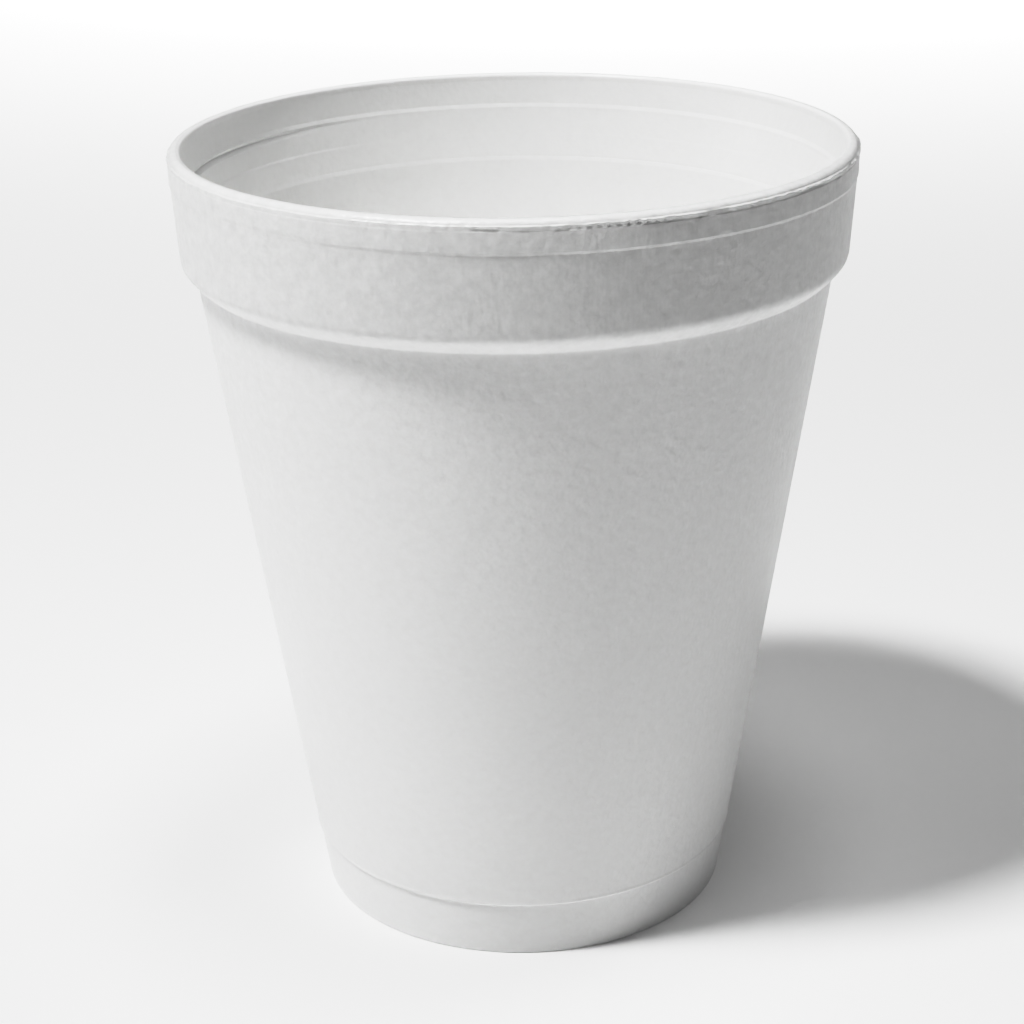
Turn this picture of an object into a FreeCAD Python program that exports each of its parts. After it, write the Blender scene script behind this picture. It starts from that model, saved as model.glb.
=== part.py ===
import FreeCAD, Part
import math
import os

# Drinking cup moulded in expanded polystyrene beads, empty, standing on its foot.
# Millimetres, +Z up, origin at the centre of the foot on the standing plane.
# The cup is one moulding, so it is one body: a blank turned about the Z axis,
# a tapered cavity turned out of it, a shallow recess under the foot, and blends.

V = FreeCAD.Vector
doc = FreeCAD.newDocument("FoamCup")

# ---------------------------------------------------------------- sizes
# name, value (mm), what it is
SIZES = [
    ("rim_radius", 45.00, "outer radius over the mould's parting ridge, the widest place"),
    ("cup_height", 105.70, "standing plane to the top of the lip"),
    ("ridge_level", 104.90, "height of the middle of the parting ridge"),
    ("ridge_thick", 0.24, "thickness of the parting ridge"),
    ("ridge_proud", 0.20, "how far the ridge stands out of the lip"),
    ("lip_inner_radius", 43.05, "inner radius of the lip below its rounding"),
    ("lip_low_radius", 44.80, "outer radius at the lower end of the lip zone"),
    ("lip_low_level", 101.75, "height of the lower end of the lip zone"),
    ("lip_step", 0.16, "how far the lip zone stands out of the collar"),
    ("lip_step_drop", 0.18, "height of the slope below the lip zone"),
    ("collar_low_radius", 43.93, "outer radius at the collar's lower edge"),
    ("collar_low_level", 91.00, "height of the collar's lower edge"),
    ("waist_radius", 42.00, "outer radius of the body right below the collar"),
    ("waist_level", 89.10, "height where the collar's slope meets the body"),
    ("foot_level", 8.20, "height of the small step above the foot"),
    ("foot_top_radius", 29.42, "outer radius at the top of the foot"),
    ("foot_step", 0.18, "how far the body stands out of the foot"),
    ("foot_step_drop", 0.20, "height of that step's slope"),
    ("base_radius", 28.25, "outer radius at the standing plane"),
    ("wall_thick", 2.00, "wall of the body, measured level"),
    ("floor_level", 3.40, "height of the inside floor"),
    ("ledge_level", 101.50, "height of the upper edge of the inside ledge"),
    ("ledge_drop", 0.57, "height of the inside ledge's slope"),
    ("ledge_top_radius", 42.74, "inner radius above the ledge"),
    ("ledge_low_radius", 42.28, "inner radius at the ledge's nose"),
    ("groove_drop", 0.36, "height of the shallow groove under the nose"),
    ("groove_depth", 0.16, "depth of that groove"),
    ("crease_upper_level", 97.30, "height of the upper faint crease inside"),
    ("crease_lower_level", 93.80, "height of the lower faint crease inside"),
    ("crease_drop", 0.24, "height of each crease's slope"),
    ("crease_upper_width", 0.12, "width of the upper crease's slope"),
    ("crease_lower_width", 0.12, "width of the lower crease's slope"),
    ("upper_crease_radius", 41.56, "inner radius above the upper crease"),
    ("recess_radius", 24.60, "radius of the recess under the foot, at the standing plane"),
    ("recess_depth", 1.30, "depth of that recess"),
    ("recess_slope", 0.90, "how much smaller the recess is at its top"),
    ("lip_outer_blend", 0.64, "rounding of the lip's outer edge"),
    ("lip_inner_blend", 0.92, "rounding of the lip's inner edge"),
    ("collar_edge_blend", 0.24, "rounding of the collar's lower edge"),
    ("waist_blend", 0.50, "hollow blend from the collar's slope into the body"),
    ("base_edge_blend", 0.35, "rounding of the outer edge of the foot"),
    ("foot_ring_blend", 0.40, "rounding of the recess's edge"),
    ("floor_blend", 2.40, "hollow blend from the inside floor into the wall"),
]

sheet = doc.addObject("Spreadsheet::Sheet", "Sizes")
for row, (name, value, what) in enumerate(SIZES, start=1):
    sheet.set("A%d" % row, name)
    sheet.set("B%d" % row, "%.4f" % value)
    sheet.set("C%d" % row, what)
    sheet.setAlias("B%d" % row, name)
doc.recompute()


def size(name):
    return float(sheet.get(name))


# Level radius of the body's outer cone at a given height, as an expression of the sheet.
BODY_FOOT_R = "(Sizes.foot_top_radius + Sizes.foot_step)"
BODY_SLOPE = "((Sizes.waist_radius - %s) / (Sizes.waist_level - Sizes.foot_level))" % BODY_FOOT_R


def inner_cone(level):
    """Expression for the inside wall's radius, parallel to the body's outer cone."""
    return "%s + %s * (%s - Sizes.foot_level) - Sizes.wall_thick" % (BODY_FOOT_R, BODY_SLOPE, level)


worker = doc.addObject("App::FeaturePython", "Calc")
worker.addProperty("App::PropertyFloat", "Result", "Sizes", "An expression of the sheet's cells, worked out")


def number(expression):
    """The value of an expression of the sheet's cells."""
    worker.setExpression("Result", expression)
    doc.recompute()
    return float(worker.Result)


# ---------------------------------------------------------------- body
body = doc.addObject("PartDesign::Body", "Cup")
body.Label = "cup"


def plane(role):
    for feature in body.Origin.OriginFeatures:
        if getattr(feature, "Role", "") == role:
            return feature
    raise RuntimeError("no origin plane " + role)


def profile(name, points):
    """A closed sketch of straight edges in the XZ plane.

    Each point is a pair of expressions, radius and height; None stands for zero, which
    puts the point on the axis or on the standing plane.
    """
    sketch = body.newObject("Sketcher::SketchObject", name)
    sketch.AttachmentSupport = [(plane("XZ_Plane"), "")]
    sketch.MapMode = "FlatFace"
    doc.recompute()
    flat = []
    for radius, level in points:
        flat.append(V(0.0 if radius is None else number(radius),
                      0.0 if level is None else number(level), 0.0))
    count = len(flat)
    for i in range(count):
        sketch.addGeometry(Part.LineSegment(flat[i], flat[(i + 1) % count]), False)
    import Sketcher
    for i in range(count):
        sketch.addConstraint(Sketcher.Constraint("Coincident", i, 2, (i + 1) % count, 1))
    for i, (radius, level) in enumerate(points):
        if radius is None:
            sketch.addConstraint(Sketcher.Constraint("PointOnObject", i, 1, -2))
        else:
            k = sketch.addConstraint(Sketcher.Constraint("DistanceX", -1, 1, i, 1, flat[i].x))
            sketch.setExpression("Constraints[%d]" % k, radius)
        if level is None:
            sketch.addConstraint(Sketcher.Constraint("PointOnObject", i, 1, -1))
        else:
            k = sketch.addConstraint(Sketcher.Constraint("DistanceY", -1, 1, i, 1, flat[i].y))
            sketch.setExpression("Constraints[%d]" % k, level)
    doc.recompute()
    if not sketch.FullyConstrained:
        raise RuntimeError(name + " is not fully constrained")
    return sketch


def turn(kind, name, sketch):
    """Turn the sketch once round the cup's axis, adding (Revolution) or removing (Groove)."""
    feature = body.newObject("PartDesign::" + kind, name)
    feature.Profile = (sketch, [""])
    feature.ReferenceAxis = (sketch, ["V_Axis"])
    feature.Angle = 360.0
    sketch.Visibility = False
    doc.recompute()
    return feature


def rings(feature, radius, level, near=0.02):
    """Names of the feature's circular edges with this radius and height."""
    found = []
    for i, edge in enumerate(feature.Shape.Edges, start=1):
        curve = edge.Curve
        if isinstance(curve, Part.Circle):
            if abs(curve.Radius - radius) < near and abs(curve.Center.z - level) < near:
                found.append("Edge%d" % i)
    if not found:
        raise RuntimeError("no ring at r %.3f z %.3f" % (radius, level))
    return found


def blend(name, radius, level, cell):
    base = body.Tip
    feature = body.newObject("PartDesign::Fillet", name)
    feature.Base = (base, rings(base, radius, level))
    feature.Radius = size(cell)
    feature.setExpression("Radius", "Sizes." + cell)
    doc.recompute()
    if feature.Shape.isNull() or not feature.Shape.isValid():
        raise RuntimeError(name + " failed")
    return feature


# The blank: foot, body, collar, lip zone and parting ridge, solid through.
LIP_R = "Sizes.rim_radius - Sizes.ridge_proud"
RIDGE_TOP = "Sizes.ridge_level + Sizes.ridge_thick / 2"
RIDGE_LOW = "Sizes.ridge_level - Sizes.ridge_thick / 2"
outer = profile("OuterProfile", [
    (None, None),
    ("Sizes.base_radius", None),
    ("Sizes.foot_top_radius", "Sizes.foot_level - Sizes.foot_step_drop"),
    (BODY_FOOT_R, "Sizes.foot_level"),
    ("Sizes.waist_radius", "Sizes.waist_level"),
    ("Sizes.collar_low_radius", "Sizes.collar_low_level"),
    ("Sizes.lip_low_radius - Sizes.lip_step", "Sizes.lip_low_level - Sizes.lip_step_drop"),
    ("Sizes.lip_low_radius", "Sizes.lip_low_level"),
    (LIP_R, RIDGE_LOW + " - 0.08"),
    ("Sizes.rim_radius", RIDGE_LOW),
    ("Sizes.rim_radius", RIDGE_TOP),
    (LIP_R + " - 0.05", RIDGE_TOP),
    (LIP_R + " - 0.06", "Sizes.cup_height"),
    (None, "Sizes.cup_height"),
])
blank = turn("Revolution", "Blank", outer)

# The cavity: a flat floor, the tapered wall, two faint creases and a narrow ledge
# that faces up, with a shallow groove right under its nose.
CREASE_A = "Sizes.crease_upper_level"
CREASE_B = "Sizes.crease_lower_level"
cavity = profile("CavityProfile", [
    (None, "Sizes.floor_level"),
    (inner_cone("Sizes.floor_level"), "Sizes.floor_level"),
    (inner_cone(CREASE_B + " - Sizes.crease_drop"), CREASE_B + " - Sizes.crease_drop"),
    (inner_cone(CREASE_B + " - Sizes.crease_drop") + " + Sizes.crease_lower_width", CREASE_B),
    ("Sizes.upper_crease_radius - Sizes.crease_upper_width", CREASE_A + " - Sizes.crease_drop"),
    ("Sizes.upper_crease_radius", CREASE_A),
    ("Sizes.ledge_low_radius", "Sizes.ledge_level - Sizes.ledge_drop - 2 * Sizes.groove_drop"),
    ("Sizes.ledge_low_radius + Sizes.groove_depth", "Sizes.ledge_level - Sizes.ledge_drop - Sizes.groove_drop"),
    ("Sizes.ledge_low_radius", "Sizes.ledge_level - Sizes.ledge_drop"),
    ("Sizes.ledge_top_radius", "Sizes.ledge_level"),
    ("Sizes.lip_inner_radius", "Sizes.cup_height - Sizes.lip_inner_blend - 0.1"),
    ("Sizes.lip_inner_radius", "Sizes.cup_height + 2"),
    (None, "Sizes.cup_height + 2"),
])
volume_blank = blank.Shape.Volume
hollow = turn("Groove", "Cavity", cavity)
volume_hollow = hollow.Shape.Volume

# The underside: a shallow recess that leaves a foot ring to stand on.
under = profile("RecessProfile", [
    (None, None),
    ("Sizes.recess_radius", None),
    ("Sizes.recess_radius - Sizes.recess_slope", "Sizes.recess_depth"),
    (None, "Sizes.recess_depth"),
])
recess = turn("Groove", "FootRecess", under)
volume_recess = recess.Shape.Volume

# Blends.
lip_r = size("rim_radius") - size("ridge_proud")
blend("LipOuterBlend", lip_r - 0.06, size("cup_height"), "lip_outer_blend")
blend("LipInnerBlend", size("lip_inner_radius"), size("cup_height"), "lip_inner_blend")
blend("CollarEdgeBlend", size("collar_low_radius"), size("collar_low_level"), "collar_edge_blend")
blend("WaistBlend", size("waist_radius"), size("waist_level"), "waist_blend")
blend("BaseEdgeBlend", size("base_radius"), 0.0, "base_edge_blend")
blend("FootRingBlend", size("recess_radius"), 0.0, "foot_ring_blend")
last = blend("FloorBlend", number(inner_cone("Sizes.floor_level")), size("floor_level"), "floor_blend")
body.Tip = last
doc.recompute()

# ---------------------------------------------------------------- checks and output
for thing in doc.Objects:
    if any(flag in ("Invalid", "Error") for flag in thing.State):
        raise RuntimeError("%s failed: %s" % (thing.Name, thing.State))

shape = body.Shape
if shape.isNull() or not shape.isValid() or len(shape.Solids) != 1:
    raise RuntimeError("the cup is not one valid solid")
if not (volume_blank > volume_hollow > volume_recess > shape.Volume * 0.9):
    raise RuntimeError("a cut removed nothing")

box = shape.optimalBoundingBox()
print("cup: one solid, %.2f x %.2f x %.2f mm, z from %.3f, %.2f cm3 of material"
      % (box.XLength, box.YLength, box.ZLength, box.ZMin, shape.Volume / 1000.0))
print("inside: floor radius %.2f, brimful about %.0f ml"
      % (number(inner_cone("Sizes.floor_level")), (volume_blank - volume_hollow) / 1000.0))
print("body taper %.2f degrees" % math.degrees(math.atan(number(BODY_SLOPE))))

os.makedirs("parts", exist_ok=True)
shape.exportStep("parts/%s.step" % body.Label)
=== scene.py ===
import math

import bpy
import numpy as np
from mathutils import Matrix, Vector


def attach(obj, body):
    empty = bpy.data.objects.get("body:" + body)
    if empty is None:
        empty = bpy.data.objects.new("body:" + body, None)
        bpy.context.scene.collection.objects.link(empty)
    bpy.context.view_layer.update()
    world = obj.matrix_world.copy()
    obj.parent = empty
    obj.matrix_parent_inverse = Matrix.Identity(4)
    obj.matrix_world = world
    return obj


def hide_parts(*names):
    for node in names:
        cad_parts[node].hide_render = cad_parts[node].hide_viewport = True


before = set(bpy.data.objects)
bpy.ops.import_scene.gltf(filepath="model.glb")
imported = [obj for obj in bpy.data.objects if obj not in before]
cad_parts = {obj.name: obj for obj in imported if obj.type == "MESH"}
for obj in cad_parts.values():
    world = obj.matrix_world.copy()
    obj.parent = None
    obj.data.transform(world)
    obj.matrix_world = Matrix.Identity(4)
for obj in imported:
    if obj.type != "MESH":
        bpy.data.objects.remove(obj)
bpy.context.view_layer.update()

MM = 0.001
scene = bpy.context.scene

# ------------------------------------------------------------------ profile of the cup
# Radius and height of each corner in millimetres, and the radius it is rounded with.
# It runs from the middle of the underside, up the outside, over the lip and down the
# inside to the middle of the floor.
CORNERS = [
    # name, r, z, rounding
    ("under_centre", 0.0, 1.30, 0.0),
    ("recess_top", 23.70, 1.30, 0.45),
    ("recess_edge", 24.60, 0.0, 0.40),
    ("base_edge", 28.25, 0.0, 0.35),
    ("foot_top", 29.42, 8.00, 0.07),
    ("body_foot", 29.70, 8.29, 0.07),
    ("body_bead", 29.67, 8.66, 0.12),
    ("waist", 42.00, 89.10, 0.30),
    ("collar_cut", 42.95, 89.94, 1.50),
    ("collar_low", 43.93, 91.00, 2.50),
    ("collar_top", 44.64, 101.50, 0.14),
    ("lip_low", 44.80, 101.85, 0.14),
    ("lip_high", 44.80, 104.34, 0.08),
    ("notch", 44.35, 104.66, 0.06),
    ("ridge_low", 45.00, 104.82, 0.03),
    ("ridge_top", 45.00, 104.96, 0.05),
    ("ridge_root", 44.70, 105.08, 0.05),
    ("lip_a", 44.65, 105.24, 0.83),
    ("lip_b", 44.41, 105.53, 0.83),
    ("lip_c", 44.06, 105.70, 0.83),
    ("lip_inner", 43.09, 105.70, 0.80),
    ("inner_top", 43.06, 104.72, 0.9),
    ("ledge_top", 42.48, 101.45, 0.20),
    ("ledge_nose", 42.28, 100.93, 0.09),
    ("groove", 42.44, 100.52, 0.12),
    ("groove_low", 42.10, 99.95, 0.30),
    ("crease_a", 41.56, 97.30, 0.20),
    ("crease_a_low", 41.44, 97.06, 0.20),
    ("crease_b", 40.78, 93.95, 0.60),
    ("crease_b_low", 40.62, 93.40, 0.60),
    ("floor_edge", 26.86, 3.40, 2.40),
    ("floor_centre", 0.0, 3.40, 0.0),
]


def rounded(corners):
    """The profile as pieces: straight runs and arcs, each with its points' spacing rule."""
    P = [np.array([r, z], float) for _, r, z, _ in corners]
    runs = []
    start = P[0]
    for i in range(1, len(P) - 1):
        rho = corners[i][3]
        a = P[i - 1] - P[i]
        b = P[i + 1] - P[i]
        la, lb = np.linalg.norm(a), np.linalg.norm(b)
        a, b = a / la, b / lb
        cosang = float(np.clip(a @ b, -1, 1))
        half = math.acos(cosang) / 2
        t = rho / math.tan(half) if rho > 0 else 0.0
        t = min(t, 0.47 * la, 0.47 * lb)
        rho = t * math.tan(half)
        pa, pb = P[i] + a * t, P[i] + b * t
        turn = math.pi - 2 * half
        runs.append(("line", start, pa, corners[i - 1][0], corners[i][0]))
        if t > 1e-6 and turn > math.radians(1.0):
            bis = (a + b) / np.linalg.norm(a + b)
            c = P[i] + bis * (rho / math.sin(half))
            runs.append(("arc", pa, pb, c, turn, corners[i][0]))
        start = pb
    runs.append(("line", start, P[-1], corners[-2][0], corners[-1][0]))
    return runs


def graded(length, fine_a, fine_b, coarse, growth=1.45):
    """Positions along a run, fine at the ends and growing towards its middle."""
    def side(fine):
        out, step = [], fine
        while step < coarse:
            out.append(step)
            step *= growth
        return out
    sa, sb = side(fine_a), side(fine_b)
    while sum(sa) + sum(sb) > length * 0.96 and (sa or sb):
        if sb and (not sa or sb[-1] >= sa[-1]):
            sb.pop()
        else:
            sa.pop()
    left = length - sum(sa) - sum(sb)
    top = max([coarse] if sum(sa) + sum(sb) < 0.5 * length else (sa + sb)[-1:] or [coarse])
    n = max(1, int(round(left / max(min(coarse, top * growth), 1e-3))))
    steps = sa + [left / n] * n + sb[::-1]
    return np.concatenate([[0.0], np.cumsum(steps)]) / length


# Rows per run: the finest step at each end and the step in the middle, in millimetres.
COARSE = {
    ("under_centre", "recess_top"): (2.0, 0.4, 6.0),
    ("recess_top", "recess_edge"): (0.5, 0.5, 0.6),
    ("recess_edge", "base_edge"): (0.5, 0.35, 1.2),
    ("base_edge", "foot_top"): (0.25, 0.15, 1.5),
    ("foot_top", "body_foot"): (0.2, 0.2, 0.2),
    ("body_foot", "body_bead"): (0.2, 0.2, 0.2),
    ("body_bead", "waist"): (0.15, 0.40, 1.85),
    ("waist", "collar_cut"): (0.3, 0.3, 0.4),
    ("collar_cut", "collar_low"): (0.3, 0.3, 0.4),
    ("collar_low", "collar_top"): (0.25, 0.15, 1.0),
    ("collar_top", "lip_low"): (0.2, 0.2, 0.2),
    ("lip_low", "lip_high"): (0.15, 0.15, 0.7),
    ("lip_high", "notch"): (0.2, 0.2, 0.2),
    ("notch", "ridge_low"): (0.2, 0.2, 0.2),
    ("lip_c", "lip_inner"): (0.2, 0.2, 0.2),
    ("lip_inner", "inner_top"): (0.3, 0.3, 0.3),
    ("inner_top", "ledge_top"): (0.5, 0.15, 1.1),
    ("ledge_top", "ledge_nose"): (0.3, 0.3, 0.3),
    ("ledge_nose", "groove"): (0.3, 0.3, 0.3),
    ("groove", "groove_low"): (0.3, 0.3, 0.3),
    ("groove_low", "crease_a"): (0.3, 0.3, 1.2),
    ("crease_a_low", "crease_b"): (0.3, 0.3, 1.4),
    ("crease_b_low", "floor_edge"): (0.4, 0.6, 3.0),
    ("floor_edge", "floor_centre"): (0.7, 2.0, 6.0),
}
# Divisions round the cup, by the corner that a band of the profile starts at.
BANDS = [
    ("under_centre", 90), ("recess_edge", 180), ("base_edge", 360),
    ("lip_high", 720), ("notch", 1440), ("lip_a", 720), ("lip_b", 360), ("crease_b_low", 180),
]


def profile_rows():
    """(r, z, place) for each row, and the place says which run or corner it is on."""
    rows = []
    for run in rounded(CORNERS):
        if run[0] == "line":
            _, a, b, na, nb = run
            length = float(np.linalg.norm(b - a))
            if length < 1e-6:
                continue
            fa, fb, co = COARSE.get((na, nb), (0.15, 0.15, 0.25))
            ts = graded(length, fa, fb, co) if length > fa + fb else np.array([0.0, 1.0])
            pts = [a + (b - a) * t for t in ts]
            name = na + ">" + nb
        else:
            _, a, b, c, turn, name = run
            rad = np.linalg.norm(a - c)
            n = 2 if rad * turn < 0.25 else max(2, int(math.ceil(turn / math.radians(20.0))))
            a0 = math.atan2(a[1] - c[1], a[0] - c[0])
            a1 = math.atan2(b[1] - c[1], b[0] - c[0])
            d = (a1 - a0 + math.pi) % (2 * math.pi) - math.pi
            pts = [c + rad * np.array([math.cos(a0 + d * k / n), math.sin(a0 + d * k / n)])
                   for k in range(n + 1)]
        for p in pts:
            if rows and math.hypot(rows[-1][0] - p[0], rows[-1][1] - p[1]) < 0.012:
                continue
            rows.append((float(p[0]), float(p[1]), name))
    return rows


rows = profile_rows()
order = {c[0]: i for i, c in enumerate(CORNERS)}


def divisions(place):
    """How many vertices a row has."""
    at = order[place.split(">")[0]]
    count = BANDS[0][1]
    for name, n in BANDS:
        if at >= order[name]:
            count = n
    return count


# ------------------------------------------------------------------ unevenness
from mathutils import noise as mn


def perlin(x, y, z, seed):
    return mn.noise(Vector((x + seed * 17.31, y - seed * 9.77, z + seed * 5.13)))


def smooth_step(a, b, x):
    t = min(1.0, max(0.0, (x - a) / (b - a)))
    return t * t * (3 - 2 * t)


def ring_noise(theta, radius, wave, seed):
    """Noise round the cup, in step with a wave of that many millimetres."""
    return perlin(math.cos(theta) * radius / wave, math.sin(theta) * radius / wave, 0.0, seed)


def hump(theta, centre, width):
    """1 at an angle round the cup (degrees from +X towards +Y), fading out over a width."""
    off = (math.degrees(theta) - centre + 180.0) % 360.0 - 180.0
    return math.exp(-(off / width) ** 2)


def ridge_shape(theta):
    """The parting ridge: how far it falls short, its level and how deep the notch below it is."""
    thick = hump(theta, -35.0, 32.0) + 0.5 * hump(theta, 75.0, 30.0) + 0.6 * hump(theta, 190.0, 20.0)
    bitten = 1.4 * hump(theta, -75.0, 6.0) + 0.14 * hump(theta, -45.0, 20.0) + 0.3 * hump(theta, 60.0, 30.0) \
        + 0.2 * hump(theta, 180.0, 22.0) + 0.04
    scallop = 1.25 * math.sin(249.0 * theta + 3.0 * ring_noise(theta, 45.0, 6.0, 10)) - 0.10
    scallop = max(0.0, scallop) * min(1.0, bitten) * (0.9 + 0.5 * ring_noise(theta, 45.0, 3.1, 11))
    short = 0.17 - 0.10 * thick + 0.05 * scallop
    short += (0.05 + 0.04 * thick) * 2.0 * ring_noise(theta, 45.0, 2.4, 3)
    short += (0.04 + 0.06 * thick) * 1.6 * ring_noise(theta, 45.0, 0.72, 4)
    level = 0.04 * ring_noise(theta, 45.0, 9.0, 5) + 0.07 * ring_noise(theta, 45.0, 2.2, 6) \
        + (0.03 + 0.07 * thick) * ring_noise(theta, 45.0, 0.75, 7) + 0.05 * scallop
    notch = 0.28 * hump(theta, -94.5, 2.6) + 0.30 * hump(theta, -37.0, 3.5) + 1.0 * scallop \
        + (0.02 + 0.12 * thick) * ring_noise(theta, 45.0, 0.75, 9)
    return max(0.0, short), level, min(1.1, max(0.0, notch))


def step_share(theta):
    """How clearly the step below the lip zone stands out: it fades on the front left."""
    share = 1.0 - 0.72 * hump(theta, -140.0, 24.0) - 0.5 * hump(theta, 20.0, 30.0)
    return share + 0.5 * ring_noise(theta, 45.0, 7.0, 12)


def inner_share(theta):
    """How deep the groove under the ledge is, and how clear the crease below it is."""
    groove = 1.9 * hump(theta, 165.0, 26.0) + 1.2 * hump(theta, -60.0, 40.0) + 0.05
    crease = 0.14 + 1.1 * hump(theta, 152.0, 24.0) + 0.8 * hump(theta, -30.0, 35.0)
    return groove, crease


def on_chord(z, a, b):
    """The radius at a height on the straight line from one corner to another."""
    _, ra, za, _ = CORNERS[order[a]]
    _, rb, zb, _ = CORNERS[order[b]]
    return ra + (rb - ra) * (z - za) / (zb - za)


def unevenness(x, y, z):
    """How far the surface stands out of (+) or into (-) its true form, in mm."""
    slow = perlin(x / 16.0, y / 16.0, z / 22.0, 1) * 0.010
    quick = perlin(x / 4.5, y / 4.5, z / 5.5, 2) * 0.0022
    return slow + quick


def build_cup():
    n_rows = len(rows)
    profile = np.array([(r, z) for r, z, _ in rows])
    tangent = np.gradient(profile, axis=0)
    tangent[0] = (1, 0)
    tangent[-1] = (-1, 0)
    normal = np.stack([tangent[:, 1], -tangent[:, 0]], 1)
    normal /= np.linalg.norm(normal, axis=1)[:, None]
    verts, starts, counts = [], [], []
    for i, (r, z, place) in enumerate(rows):
        n = divisions(place)
        starts.append(len(verts))
        if r < 1e-6:
            counts.append(1)
            verts.append((0.0, 0.0, z))
            continue
        counts.append(n)
        on_ridge = "ridge" in place or "notch" in place
        nr, nz = normal[i]
        standing = z < 0.02
        inner = order[place.split(">")[0]] >= order["ledge_nose"]
        outer = order[place.split(">")[0]] <= order["lip_high"]
        if 101.2 < z < 102.4 and outer:
            chord = on_chord(z, "collar_low", "collar_top")
        elif inner and order["ledge_nose"] <= order[place.split(">")[0]] < order["groove_low"]:
            chord = on_chord(z, "ledge_nose", "groove_low")
        elif inner and order["groove_low"] <= order[place.split(">")[0]] < order["crease_b"]:
            chord = on_chord(z, "groove_low", "crease_b")
        for k in range(n):
            th = 2 * math.pi * k / n
            c, s_ = math.cos(th), math.sin(th)
            rr, zz = r, z
            if on_ridge:
                short, level, notch = ridge_shape(th)
                share = smooth_step(44.72, 45.0, r)
                rr = r - share * short
                if "notch" in place and z < 104.82:
                    # Where there is no notch the wall runs straight up to the ridge.
                    rr = 44.80 - (44.80 - r) * notch if r < 44.8 else 44.80 + (r - 44.80) * (1.0 - 5.0 * short)
                    plain_wall = 44.80 + (0.20 - short) * (z - 104.34) / 0.48
                    rr = plain_wall + (rr - plain_wall) * smooth_step(0.0, 0.25, notch)
                zz = z + level * (0.4 + 0.6 * share)
            elif not standing:
                if inner and z > 93.95:
                    groove, crease = inner_share(th)
                    rr = chord + (r - chord) * (groove if z > 99.95 else crease)
                elif outer and 101.2 < z < 102.4:
                    rr = r + (chord - r) * (1.0 - step_share(th)) * (1.0 - smooth_step(101.9, 102.4, z))
                d = unevenness(r * c, r * s_, z) - 0.006
                if z > 105.0:
                    d = min(d, 0.0)
                rr = rr + nr * d
                zz = z + nz * d
            rr = min(rr, 45.0)
            verts.append((rr * c, rr * s_, min(105.70, max(0.0, zz))))
    faces = []
    for i in range(n_rows - 1):
        a, b = starts[i], starts[i + 1]
        na, nb = counts[i], counts[i + 1]
        if na == 1:
            for k in range(nb):
                faces.append((a, b + (k + 1) % nb, b + k))
        elif nb == 1:
            for k in range(na):
                faces.append((a + k, a + (k + 1) % na, b))
        elif na == nb:
            for k in range(na):
                faces.append((a + k, a + (k + 1) % na, b + (k + 1) % nb, b + k))
        elif nb == 2 * na:
            for k in range(na):
                k1 = (k + 1) % na
                faces.append((a + k, b + 2 * k + 1, b + 2 * k))
                faces.append((a + k, a + k1, b + 2 * k + 1))
                faces.append((a + k1, b + (2 * k + 2) % nb, b + 2 * k + 1))
        elif na == 2 * nb:
            for k in range(nb):
                k1 = (k + 1) % nb
                faces.append((a + 2 * k, a + 2 * k + 1, b + k))
                faces.append((a + 2 * k + 1, b + k1, b + k))
                faces.append((a + 2 * k + 1, a + (2 * k + 2) % na, b + k1))
        else:
            raise RuntimeError("rows %d and %d don't match" % (na, nb))
    mesh = bpy.data.meshes.new("cup_foam")
    co = [(x * MM, y * MM, z * MM) for x, y, z in verts]
    mesh.from_pydata(co, [], faces)
    mesh.polygons.foreach_set("use_smooth", [True] * len(mesh.polygons))
    mesh.update()
    return mesh


mesh = build_cup()
cup = bpy.data.objects.new("cup_foam", mesh)
scene.collection.objects.link(cup)


# ------------------------------------------------------------------ foam
class Nodes:
    """Short ways to add nodes to a material."""

    def __init__(self, tree):
        self.tree = tree

    def add(self, kind, **settings):
        node = self.tree.nodes.new(kind)
        for key, value in settings.items():
            setattr(node, key, value)
        return node

    def put(self, socket, value):
        if isinstance(value, bpy.types.NodeSocket):
            self.tree.links.new(value, socket)
        else:
            socket.default_value = value

    def math(self, operation, a, b=0.0, c=0.0, clamp=False):
        node = self.add("ShaderNodeMath", operation=operation, use_clamp=clamp)
        for i, value in enumerate((a, b, c)):
            self.put(node.inputs[i], value)
        return node.outputs[0]

    def map(self, value, a, b, c, d, kind="SMOOTHSTEP"):
        node = self.add("ShaderNodeMapRange", interpolation_type=kind)
        for i, v in enumerate((value, a, b, c, d)):
            self.put(node.inputs[i], v)
        return node.outputs[0]

    def scaled(self, vector, size):
        node = self.add("ShaderNodeVectorMath", operation="MULTIPLY")
        self.put(node.inputs[0], vector)
        node.inputs[1].default_value = size
        return node.outputs[0]

    def noise(self, vector, scale, detail=2.0, rough=0.5, output="Fac"):
        node = self.add("ShaderNodeTexNoise")
        self.put(node.inputs["Vector"], vector)
        node.inputs["Scale"].default_value = scale
        node.inputs["Detail"].default_value = detail
        node.inputs["Roughness"].default_value = rough
        return node.outputs[output]

    def cells(self, vector, scale, feature="F1", output="Distance", randomness=1.0):
        node = self.add("ShaderNodeTexVoronoi", feature=feature)
        self.put(node.inputs["Vector"], vector)
        node.inputs["Scale"].default_value = scale
        node.inputs["Randomness"].default_value = randomness
        return node.outputs[output]


# Height of the foam's fine relief in millimetres, and how much light goes on inside it.
BEAD = 0.010
LUMPS = 0.095
GRAIN = 0.006
STREAKS = 0.045
MOTTLE = 0.125
GLOW = 0.28


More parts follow.
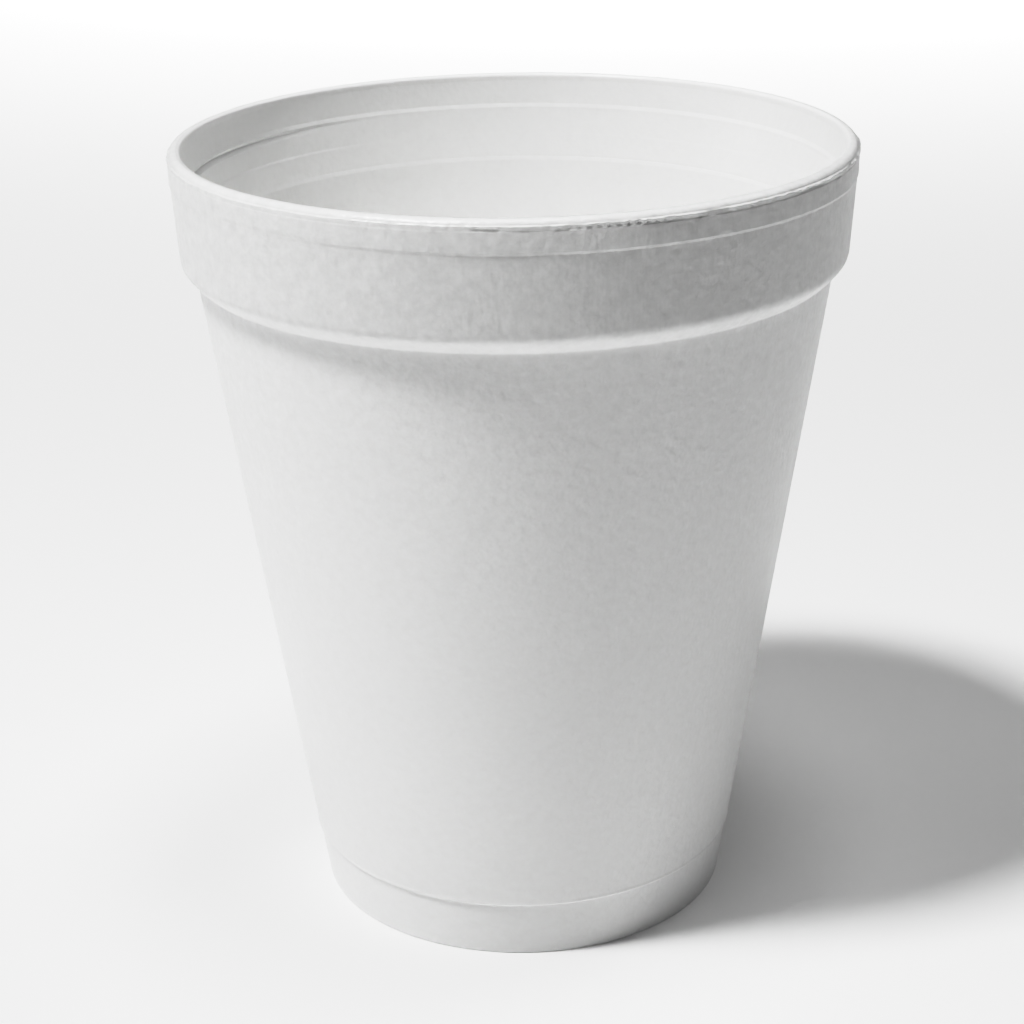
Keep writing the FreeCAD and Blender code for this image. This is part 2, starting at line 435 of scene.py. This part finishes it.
def foam_material():
    mat = bpy.data.materials.new("moulded_foam")
    mat.use_nodes = True
    tree = mat.node_tree
    tree.nodes.clear()
    n = Nodes(tree)
    out = n.add("ShaderNodeOutputMaterial")
    shader = n.add("ShaderNodeBsdfPrincipled")
    tree.links.new(shader.outputs[0], out.inputs[0])
    coords = n.add("ShaderNodeTexCoord").outputs["Object"]
    mm = n.scaled(coords, (1000.0, 1000.0, 1000.0))
    split = n.add("ShaderNodeSeparateXYZ")
    tree.links.new(mm, split.inputs[0])
    height = split.outputs["Z"]

    # Where on the cup: the collar and lip carry fine upright drag marks from the mould. The same mask also
    # places the collar's painted shade.
    collar = n.map(height, 90.5, 91.6, 0.0, 1.0)

    # Beads: cells about a millimetre across, their places pushed about by noise.
    push = n.add("ShaderNodeVectorMath", operation="MULTIPLY_ADD")
    tree.links.new(n.noise(mm, 0.9, 0.0, 0.5, "Color"), push.inputs[0])
    push.inputs[1].default_value = (0.8, 0.8, 0.8)
    tree.links.new(mm, push.inputs[2])
    bead = n.add("ShaderNodeTexVoronoi")
    tree.links.new(push.outputs[0], bead.inputs["Vector"])
    bead.inputs["Scale"].default_value = 0.80
    bead_tint = n.add("ShaderNodeSeparateColor")
    tree.links.new(bead.outputs["Color"], bead_tint.inputs[0])
    dome = n.math("MULTIPLY", n.math("POWER", bead.outputs["Distance"], 2.0), -BEAD)
    dome = n.math("MULTIPLY", dome, n.math("MULTIPLY_ADD", bead_tint.outputs[2], 0.9, 0.35))
    radius = n.math("SQRT", n.math("ADD", n.math("POWER", split.outputs["X"], 2.0),
                                   n.math("POWER", split.outputs["Y"], 2.0)))
    outside = n.map(n.math("MULTIPLY_ADD", height, -0.1533, radius), 27.2, 27.5, 0.0, 1.0)
    upper = n.math("MULTIPLY", n.map(height, 35.0, 92.0, 0.55, 1.4), n.math("MULTIPLY_ADD", outside, 0.75, 0.25))
    lumps = n.math("MULTIPLY", n.math("MULTIPLY", n.noise(mm, 0.85, 1.0, 0.45), LUMPS), upper)
    grain = n.math("MULTIPLY", n.noise(mm, 3.4, 1.0, 0.6), GRAIN)

    # Upright streaks: noise drawn out along Z.
    drawn = n.scaled(mm, (1.0, 1.0, 0.10))
    streaks = n.math("MULTIPLY", n.noise(drawn, 1.20, 1.0, 0.5), n.math("MULTIPLY_ADD", n.math("MULTIPLY", collar, outside), STREAKS, 0.006))

    relief = n.math("ADD", n.math("ADD", dome, lumps), n.math("ADD", grain, streaks))
    bump = n.add("ShaderNodeBump")
    bump.inputs["Strength"].default_value = 1.0
    bump.inputs["Distance"].default_value = MM
    tree.links.new(relief, bump.inputs["Height"])
    tree.links.new(bump.outputs[0], shader.inputs["Normal"])

    # Colour: clean white, each bead a shade of its own, seams a little darker. The outside of the collar and lip
    # is painted a shade darker: painted shade, standing in for the darker shading the collar gets from the
    # light.
    tone = n.math("MULTIPLY_ADD", bead_tint.outputs[0], 0.005, 0.971)
    # Painted shade: the outside from the collar up is darkened to stand in for its shading.
    tone = n.math("MULTIPLY_ADD", n.math("MULTIPLY", collar, outside), -0.078, tone)
    tone = n.math("ADD", tone, n.map(bead.outputs["Distance"], 0.50, 0.85, 0.0, -0.010))
    mottle = n.math("MULTIPLY", n.math("SUBTRACT", n.noise(mm, 0.70, 3.0, 0.62), 0.5), upper)
    tone = n.math("MULTIPLY_ADD", mottle, MOTTLE, tone)
    colour = n.add("ShaderNodeCombineColor")
    tree.links.new(tone, colour.inputs[0])
    tree.links.new(tone, colour.inputs[1])
    tree.links.new(n.math("MULTIPLY", tone, 0.996), colour.inputs[2])
    tree.links.new(colour.outputs[0], shader.inputs["Base Color"])

    rough = n.math("MULTIPLY_ADD", bead_tint.outputs[1], 0.03, 0.33)
    tree.links.new(rough, shader.inputs["Roughness"])
    shader.inputs["IOR"].default_value = 1.45
    shader.inputs["Specular IOR Level"].default_value = 0.5
    shader.inputs["Subsurface Weight"].default_value = GLOW
    shader.inputs["Subsurface Radius"].default_value = (1.0, 1.0, 1.0)
    shader.inputs["Subsurface Scale"].default_value = 0.0015
    return mat


foam = foam_material()
mesh.materials.append(foam)
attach(cup, "root")
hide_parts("cup")

# ------------------------------------------------------------------ stage


def plain(name, colour, rough, glow=0.0):
    mat = bpy.data.materials.new(name)
    mat.use_nodes = True
    shader = mat.node_tree.nodes["Principled BSDF"]
    shader.inputs["Base Color"].default_value = (*colour, 1.0)
    shader.inputs["Roughness"].default_value = rough
    shader.inputs["Specular IOR Level"].default_value = 0.2
    shader.inputs["Emission Color"].default_value = (1.0, 1.0, 1.0, 1.0)
    shader.inputs["Emission Strength"].default_value = glow
    return mat


def floor_mesh(radius=1.3, steps=96):
    mesh = bpy.data.meshes.new("floor")
    verts = [(0.0, 0.0, 0.0)] + [(radius * math.cos(2 * math.pi * k / steps), radius * math.sin(2 * math.pi * k / steps), 0.0)
                                for k in range(steps)]
    faces = [(0, 1 + k, 1 + (k + 1) % steps) for k in range(steps)]
    mesh.from_pydata(verts, [], faces)
    return mesh


floor = bpy.data.objects.new("floor", floor_mesh())
scene.collection.objects.link(floor)
floor.data.materials.append(plain("floor", (0.93, 0.93, 0.93), 0.8, 0.085))


def soft_light(name, azimuth, elevation, distance, size, power, target=(0.0, 0.0, 0.06)):
    """A square area light. Azimuth 0 is in front (-Y), 90 is on the right (+X)."""
    a, e = math.radians(azimuth), math.radians(elevation)
    away = Vector((math.sin(a) * math.cos(e), -math.cos(a) * math.cos(e), math.sin(e)))
    data = bpy.data.lights.new(name, "AREA")
    data.shape = "SQUARE"
    data.size = size
    data.energy = power
    lamp = bpy.data.objects.new(name, data)
    scene.collection.objects.link(lamp)
    lamp.location = Vector(target) + away * distance
    lamp.rotation_mode = "QUATERNION"
    lamp.rotation_quaternion = away.to_track_quat("Z", "Y")
    return lamp


soft_light("key", -58.0, 64.0, 1.2, 0.17, 12.8)
soft_light("high", 60.0, 84.0, 1.2, 0.30, 4.2)
soft_light("back_right", 122.0, 50.0, 1.8, 0.8, 5.0)
soft_light("left", -100.0, 14.0, 1.8, 0.8, 3.9)
wash = soft_light("wash", 180.0, 90.0, 0.9, 0.8, 9.0, target=(0.1, 1.15, 0.0))
wash.data.spread = math.radians(70.0)

world = bpy.data.worlds.new("studio")
scene.world = world
world.use_nodes = True
world.node_tree.nodes["Background"].inputs["Color"].default_value = (1.0, 1.0, 1.0, 1.0)
world.node_tree.nodes["Background"].inputs["Strength"].default_value = 0.02
# Past the floor's edge there is a pale wall to look at, which adds no light of its own.
room = Nodes(world.node_tree)
wall = room.add("ShaderNodeBackground")
wall.inputs["Color"].default_value = (0.96, 0.96, 0.96, 1.0)
wall.inputs["Strength"].default_value = 1.0
seen = room.add("ShaderNodeMixShader")
world.node_tree.links.new(room.add("ShaderNodeLightPath").outputs["Is Camera Ray"], seen.inputs[0])
world.node_tree.links.new(world.node_tree.nodes["Background"].outputs[0], seen.inputs[1])
world.node_tree.links.new(wall.outputs[0], seen.inputs[2])
world.node_tree.links.new(seen.outputs[0], world.node_tree.nodes["World Output"].inputs["Surface"])

# ------------------------------------------------------------------ camera
RIM = 0.045


def set_camera():
    """A long lens in front of the cup, looking down on it by about 21 degrees."""
    yaw, pitch, roll = math.radians(-0.175), math.radians(21.24), math.radians(0.93)
    fwd = Vector((math.sin(yaw) * math.cos(pitch), math.cos(yaw) * math.cos(pitch), -math.sin(pitch)))
    right = Vector((math.cos(yaw), -math.sin(yaw), 0.0))
    down = fwd.cross(right)
    c, s_ = math.cos(roll), math.sin(roll)
    right, down = right * c + down * s_, -right * s_ + down * c
    data = bpy.data.cameras.new("camera")
    data.sensor_width = 36.0
    data.lens = 2345.0 / 1024.0 * 36.0
    data.clip_start = 0.01
    data.clip_end = 50.0
    camera = bpy.data.objects.new("camera", data)
    scene.collection.objects.link(camera)
    camera.matrix_world = Matrix((
        (right.x, -down.x, -fwd.x, 0.0),
        (right.y, -down.y, -fwd.y, -6.722 * RIM),
        (right.z, -down.z, -fwd.z, 3.793 * RIM),
        (0.0, 0.0, 0.0, 1.0)))
    scene.camera = camera


def curve_view():
    """A camera's S-shaped response: steeper in the greys, with the whites easing off."""
    view = scene.view_settings
    view.view_transform = "Standard"
    view.use_curve_mapping = True
    mapping = view.curve_mapping
    mapping.white_level = (2.0, 2.0, 2.0)
    mapping.use_clip = True
    points = [(0.0, 0.0), (0.12, 0.033), (0.20, 0.073), (0.36, 0.188), (0.488, 0.305), (0.60, 0.428),
              (0.724, 0.577), (0.86, 0.716), (0.951, 0.775), (1.07, 0.831), (1.376, 0.913), (2.0, 1.0)]
    curve = mapping.curves[3]
    while len(curve.points) < len(points):
        curve.points.new(0.5, 0.5)
    for point, (light, shown) in zip(curve.points, points):
        point.location = (light / 2.0, shown)
        point.handle_type = "AUTO_CLAMPED"
    mapping.update()


set_camera()
curve_view()
scene.cycles.max_bounces = 8
scene.cycles.diffuse_bounces = 7
